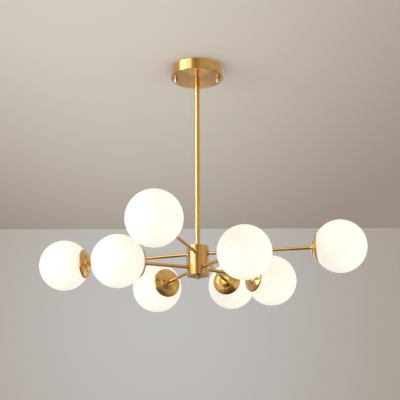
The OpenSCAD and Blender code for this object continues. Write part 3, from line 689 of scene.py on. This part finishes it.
def armPieces(lamp):
    number, place = lamp["number"], lamp["matrix"]
    hubEnd = lamp["reach"] - arm["hubEnd"]
    outline = roundedOutline([
        (arm["radius"], arm["farEnd"], soft), (arm["radius"], hubEnd, soft), (arm["bore"], hubEnd, eased),
        (arm["bore"], arm["farEnd"], eased)])
    name = "armTube%d" % number
    mesh = turnedMesh(name, outline, arm["around"])
    addPiece(name, mesh, place, drawnBrass, "frame", "arm_%d" % number)
    low, high = cup["cone"], cup["cone"] + ferrule["length"]
    outline = roundedOutline([
        (ferrule["radius"], low, sharp), (ferrule["radius"], high, ferrule["edge"]),
        (ferrule["bore"], high, eased), (ferrule["bore"], low, sharp)])
    name = "cupFerrule%d" % number
    mesh = turnedMesh(name, outline, ferrule["around"])
    addPiece(name, mesh, place, polishedBrass, "frame", "cup_ferrules")


def cupPieces(lamp):
    # The three screws stand square on the bowl, a third of a turn apart. Each cross has its own turn.
    number, place = lamp["number"], lamp["matrix"]
    name = "cupShell%d" % number
    mesh = turnedMesh(name, cupLine, cup["around"])
    addPiece(name, mesh, place, polishedBrass, "frame", "cup_%d" % number)
    lean = Matrix.Rotation(math.asin(screw["circle"] / cup["bowl"]), 4, "Y")
    lift = Matrix.Translation((0, 0, cup["bowl"] * mm))
    for index in range(3):
        name = "collarScrew%d_%d" % (number, index + 1)
        turn = Matrix.Rotation(math.radians(screw["first"] + 120 * index), 4, "Z")
        cross = Matrix.Rotation(screw["slotTurn"] + index, 4, "Z")
        seat = place @ (turn @ lean) @ (lift @ cross)
        addPiece(name, screwMesh(name), seat, polishedBrass, "frame", "collar_screws")


def globePiece(lamp):
    node = "globe_%d" % lamp["number"]
    name = "globeGlass%d" % lamp["number"]
    mesh = turnedMesh(name, globeLine, globe["around"], closed=False, thread=globeThread)
    addPiece(name, mesh, lamp["matrix"], opalGlass, node, node)


def bulbPieces(lamp):
    number, place = lamp["number"], lamp["matrix"]
    node = "bulb_%d" % number
    name = "bulbGlass%d" % number
    mesh = turnedMesh(name, bulbGlassLine, bulb["around"], closed=False)
    addPiece(name, mesh, place, frostedBulb, node, node)
    name = "bulbBase%d" % number
    mesh = turnedMesh(name, bulbBaseLine, bulb["around"], closed=False)
    addPiece(name, mesh, place, glazedCeramic, node, node)
    for label, side in (("A", -1), ("B", 1)):
        name = "bulbPin%d%s" % (number, label)
        aside = Matrix.Translation((0, side * pin["pitch"] / 2 * mm, 0))
        addPiece(name, pinMesh(name), place @ aside, pinMetal, node, node)


for lamp in lamps:
    armPieces(lamp)
    cupPieces(lamp)
    globePiece(lamp)
    bulbPieces(lamp)
print("lamps made:", len(lamps))

glow = dict(proud=0.5, power=0.4, color=(1.0, 0.97, 0.9))  # it stands proud of the glass by so many mm


def globeGlows():
    # Metal sees the lit globes brighter than a white wall, so each has a round lamp that only gloss shows.
    for lamp in lamps:
        name = "globeGlow%d" % lamp["number"]
        data = bpy.data.lights.new(name, "POINT")
        data.shadow_soft_size = (globe["radius"] + glow["proud"]) * mm
        data.energy, data.color = glow["power"], glow["color"]
        source = bpy.data.objects.new(name, data)
        source.matrix_world = Matrix.Translation(lamp["matrix"].translation)
        source.visible_camera = source.visible_diffuse = False
        bpy.context.scene.collection.objects.link(source)
        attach(source, "globe_%d" % lamp["number"])


keptFinishes = (
    (platedSteel, ["ceiling_bracket", "bracket_studs", "stem_nipples", "stem_nuts", "arm_nuts",
                   "globe_collars"]),
    (glazedCeramic, ["terminal_block"] + ["lampholder_%d" % lamp["number"] for lamp in lamps]),
    (blackSheath, ["stem_cable"]), (mouldedBlack, ["hub_splice"]), (whiteSheath, ["arm_leads"]),
    (castBrass, ["earth_screw"]))


def finishNodes():
    # The nodes that show as they are get a finish each. The hidden ones get lit glass or cast brass.
    def finish(name, material):
        nodes[name].data.materials.clear()
        nodes[name].data.materials.append(material)

    for material, names in keptFinishes:
        for name in names:
            finish(name, material)
    hiddenGlass = dict(globe=opalGlass, bulb=frostedBulb)
    for name, node in nodes.items():
        if node.hide_render:
            finish(name, hiddenGlass.get(name.split("_")[0], castBrass))


globeGlows()
finishNodes()
print("globe lamps made, kept nodes finished")

# Metres. The ceiling and wall carry a painted pool of light: lightest at their centres, fading to a painted
# shade, and reach is how far the lighter tone fades.
room = dict(
    span=12.0,
    ceiling=dict(level=0.0006, light=tint(210, 204, 198), shade=tint(162, 152, 142),
                 centre=(-0.2, -0.44, 0), reach=(1.03, 2.88, 1)),
    wall=dict(level=1.468, light=tint(187, 187, 188), shade=tint(164, 154, 145),
              centre=(-0.11, 1.468, -0.32), reach=(1.25, 1, 1.46)),
    floor=dict(level=-2.1, light=tint(206, 202, 196), shade=tint(206, 202, 196),
               centre=(0, 0, 0), reach=(1, 1, 1)))


def paintedLightPool(name, light, shade, centre, reach):
    # A matt paint with a painted pool of light, lightest at its centre, that fades smoothly to a painted
    # shade at the reach. It is clear from behind.
    material = bpy.data.materials.new(name)
    material.use_nodes = True
    tree = material.node_tree
    tree.nodes.clear()
    place = addNode(tree, "ShaderNodeTexCoord").outputs["Object"]
    away = addNode(tree, "ShaderNodeVectorMath", dict(operation="SUBTRACT"), i0=place, i1=centre).outputs[0]
    share = addNode(tree, "ShaderNodeVectorMath", dict(operation="DIVIDE"), i0=away, i1=reach).outputs[0]
    distance = addNode(tree, "ShaderNodeVectorMath", dict(operation="LENGTH"), i0=share).outputs["Value"]
    # The fade from light to shade is painted light and painted shade; where both tones are the same, as on
    # the floor, the paint is even.
    tone = mixColors(tree, smoothStep(tree, distance, 0.0, 1.0), light, shade)
    matt = addNode(tree, "ShaderNodeBsdfDiffuse", Color=tone)
    clear = addNode(tree, "ShaderNodeBsdfTransparent")
    back = addNode(tree, "ShaderNodeNewGeometry").outputs["Backfacing"]
    choose = addNode(tree, "ShaderNodeMixShader", i0=back, i1=matt.outputs[0], i2=clear.outputs[0])
    addNode(tree, "ShaderNodeOutputMaterial", dict(is_active_output=True), Surface=choose.outputs[0])
    return material


def stagePlane(name, place, turn):
    surface = room[name]
    mesh = bpy.data.meshes.new(name)
    half = room["span"] / 2
    corners = [(-half, -half, 0), (half, -half, 0), (half, half, 0), (-half, half, 0)]
    mesh.from_pydata(corners, [], [(0, 1, 2, 3)])
    plane = bpy.data.objects.new(name, mesh)
    mesh.materials.append(paintedLightPool(name + "Paint", surface["light"], surface["shade"], surface["centre"],
                                surface["reach"]))
    mesh.transform(Matrix.Translation(place) @ turn)
    plane.visible_diffuse = plane.visible_glossy = False
    bpy.context.scene.collection.objects.link(plane)


def buildRoom():
    stagePlane("ceiling", (0, 0, room["ceiling"]["level"]), Matrix.Rotation(math.pi, 4, "X"))
    stagePlane("wall", (0, room["wall"]["level"], 0), Matrix.Rotation(math.pi / 2, 4, "X"))
    stagePlane("floor", (0, 0, room["floor"]["level"]), upright)


# Plain and strength are for everything but metal. Metal sees high overhead, level at eye height and low
# below, with a dim card on the camera's side and a second card below that one. Each edge says between which
# heights, or which cosines, a fade runs.
worldLight = dict(
    plain=(1.0, 0.97, 0.925, 1), strength=0.88, high=0.7, highEdge=(0.4, 0.85), level=0.56,
    low=0.17, lowEdge=(-0.8, -0.13), card=0.36, cardAim=(-0.082, -0.94, 0.33), cardEdge=(0.945, 0.985),
    floorCard=0.3, floorAim=(0, -0.7, -0.714), floorEdge=(0.65, 0.92))


def buildWorld():
    # What isn't glossy is lit by a plain pale room. Gloss sees that room bright above and dim below, times
    # the share of light that each card lets through.
    world = bpy.data.worlds.new("room")
    bpy.context.scene.world = world
    world.use_nodes = True
    tree = world.node_tree
    shade = tree.nodes["Background"]
    direction = addNode(tree, "ShaderNodeTexCoord").outputs["Generated"]
    height = addNode(tree, "ShaderNodeSeparateXYZ", i0=direction).outputs[2]

    def cardShare(aim, edge, dim):
        # The cosine of the angle to the card's middle, as a share of light: 1 outside it, dim inside.
        dot = addNode(tree, "ShaderNodeVectorMath", dict(operation="DOT_PRODUCT"), i0=direction, i1=aim)
        return smoothStep(tree, dot.outputs["Value"], *edge, 1.0, dim)

    shown = smoothStep(tree, height, *worldLight["highEdge"], worldLight["level"], worldLight["high"])
    for share in (
            smoothStep(tree, height, *worldLight["lowEdge"], worldLight["low"] / worldLight["level"], 1.0),
            cardShare(worldLight["cardAim"], worldLight["cardEdge"], worldLight["card"]),
            cardShare(worldLight["floorAim"], worldLight["floorEdge"], worldLight["floorCard"])):
        shown = mathNode(tree, "MULTIPLY", shown, share)
    glossy = addNode(tree, "ShaderNodeLightPath").outputs["Is Glossy Ray"]
    strength = addNode(tree, "ShaderNodeMix", dict(data_type="FLOAT"), i0=glossy, i2=worldLight["strength"],
                       i3=shown).outputs[0]
    shade.inputs["Color"].default_value = worldLight["plain"]
    tree.links.new(strength, shade.inputs["Strength"])


# The first four are seen only by gloss and draw the highlights. The last two light only matt surfaces.
# Places, targets and sizes are in metres, and power is in watts.
studioLamps = dict(
    window=dict(place=(-2.16, -1.05, -0.15), target=(0, 0, -0.05), size=(0.8, 2.4), power=34,
                color=(0.94, 1.03, 1.55), glossy=True),
    windowSides=dict(place=(-2.2, -1.85, 0.1), target=(0, 0, 0.1), size=(2.7, 3.4), power=62,
                     color=(1.0, 0.98, 0.95), glossy=True),
    sideSheen=dict(place=(2.2, -1.2, -0.3), target=(0, 0, 0), size=(1.3, 2.2), power=1.6,
                   color=(1.0, 0.96, 0.9), glossy=True),
    canopyGlow=dict(place=(0, 0.1, -0.4), target=(0, 0.1, 0), size=(0.22, 0.9), power=0.5,
                    color=(1.0, 0.84, 0.64), glossy=True),
    softKey=dict(place=(-1.9, -1.0, -0.42), target=(0, 0, -0.35), size=(1.1, 0.5), power=20,
                 color=(1.0, 0.99, 0.97), glossy=False),
    softFill=dict(place=(2.2, -1.2, -0.9), target=(0, 0, -0.35), size=(1.6, 1.6), power=13,
                  color=(1.0, 0.96, 0.9), glossy=False))


def aimed(place, target):
    aim = Vector(target) - Vector(place)
    return Matrix.Translation(place) @ aim.to_track_quat("-Z", "Y").to_matrix().to_4x4()


def buildLamps():
    for name, lamp in studioLamps.items():
        data = bpy.data.lights.new(name, "AREA")
        data.shape, data.energy, data.color = "RECTANGLE", lamp["power"], lamp["color"]
        data.size, data.size_y = lamp["size"]
        source = bpy.data.objects.new(name, data)
        source.matrix_world = aimed(lamp["place"], lamp["target"])
        source.visible_camera = False
        source.visible_glossy, source.visible_diffuse = lamp["glossy"], not lamp["glossy"]
        bpy.context.scene.collection.objects.link(source)


# Lens and sensor in mm, place in metres, angles in degrees. The camera looks up by the pitch.
view = dict(lens=93.6, sensor=36.0, place=(0, -2.346, -1.0614), pitch=17.143, yaw=0.144, roll=-0.2435)


def buildCamera():
    data = bpy.data.cameras.new("camera")
    data.lens, data.sensor_width = view["lens"], view["sensor"]
    camera = bpy.data.objects.new("camera", data)
    turn = (Matrix.Rotation(math.radians(-view["yaw"]), 4, "Z")
            @ Matrix.Rotation(math.radians(90 + view["pitch"]), 4, "X")
            @ Matrix.Rotation(math.radians(view["roll"]), 4, "Z"))
    camera.matrix_world = Matrix.Translation(view["place"]) @ turn
    bpy.context.scene.collection.objects.link(camera)
    bpy.context.scene.camera = camera


buildRoom()
buildWorld()
buildLamps()
buildCamera()
bpy.context.scene.view_settings.view_transform = "Standard"
print("room, lamps and camera made")
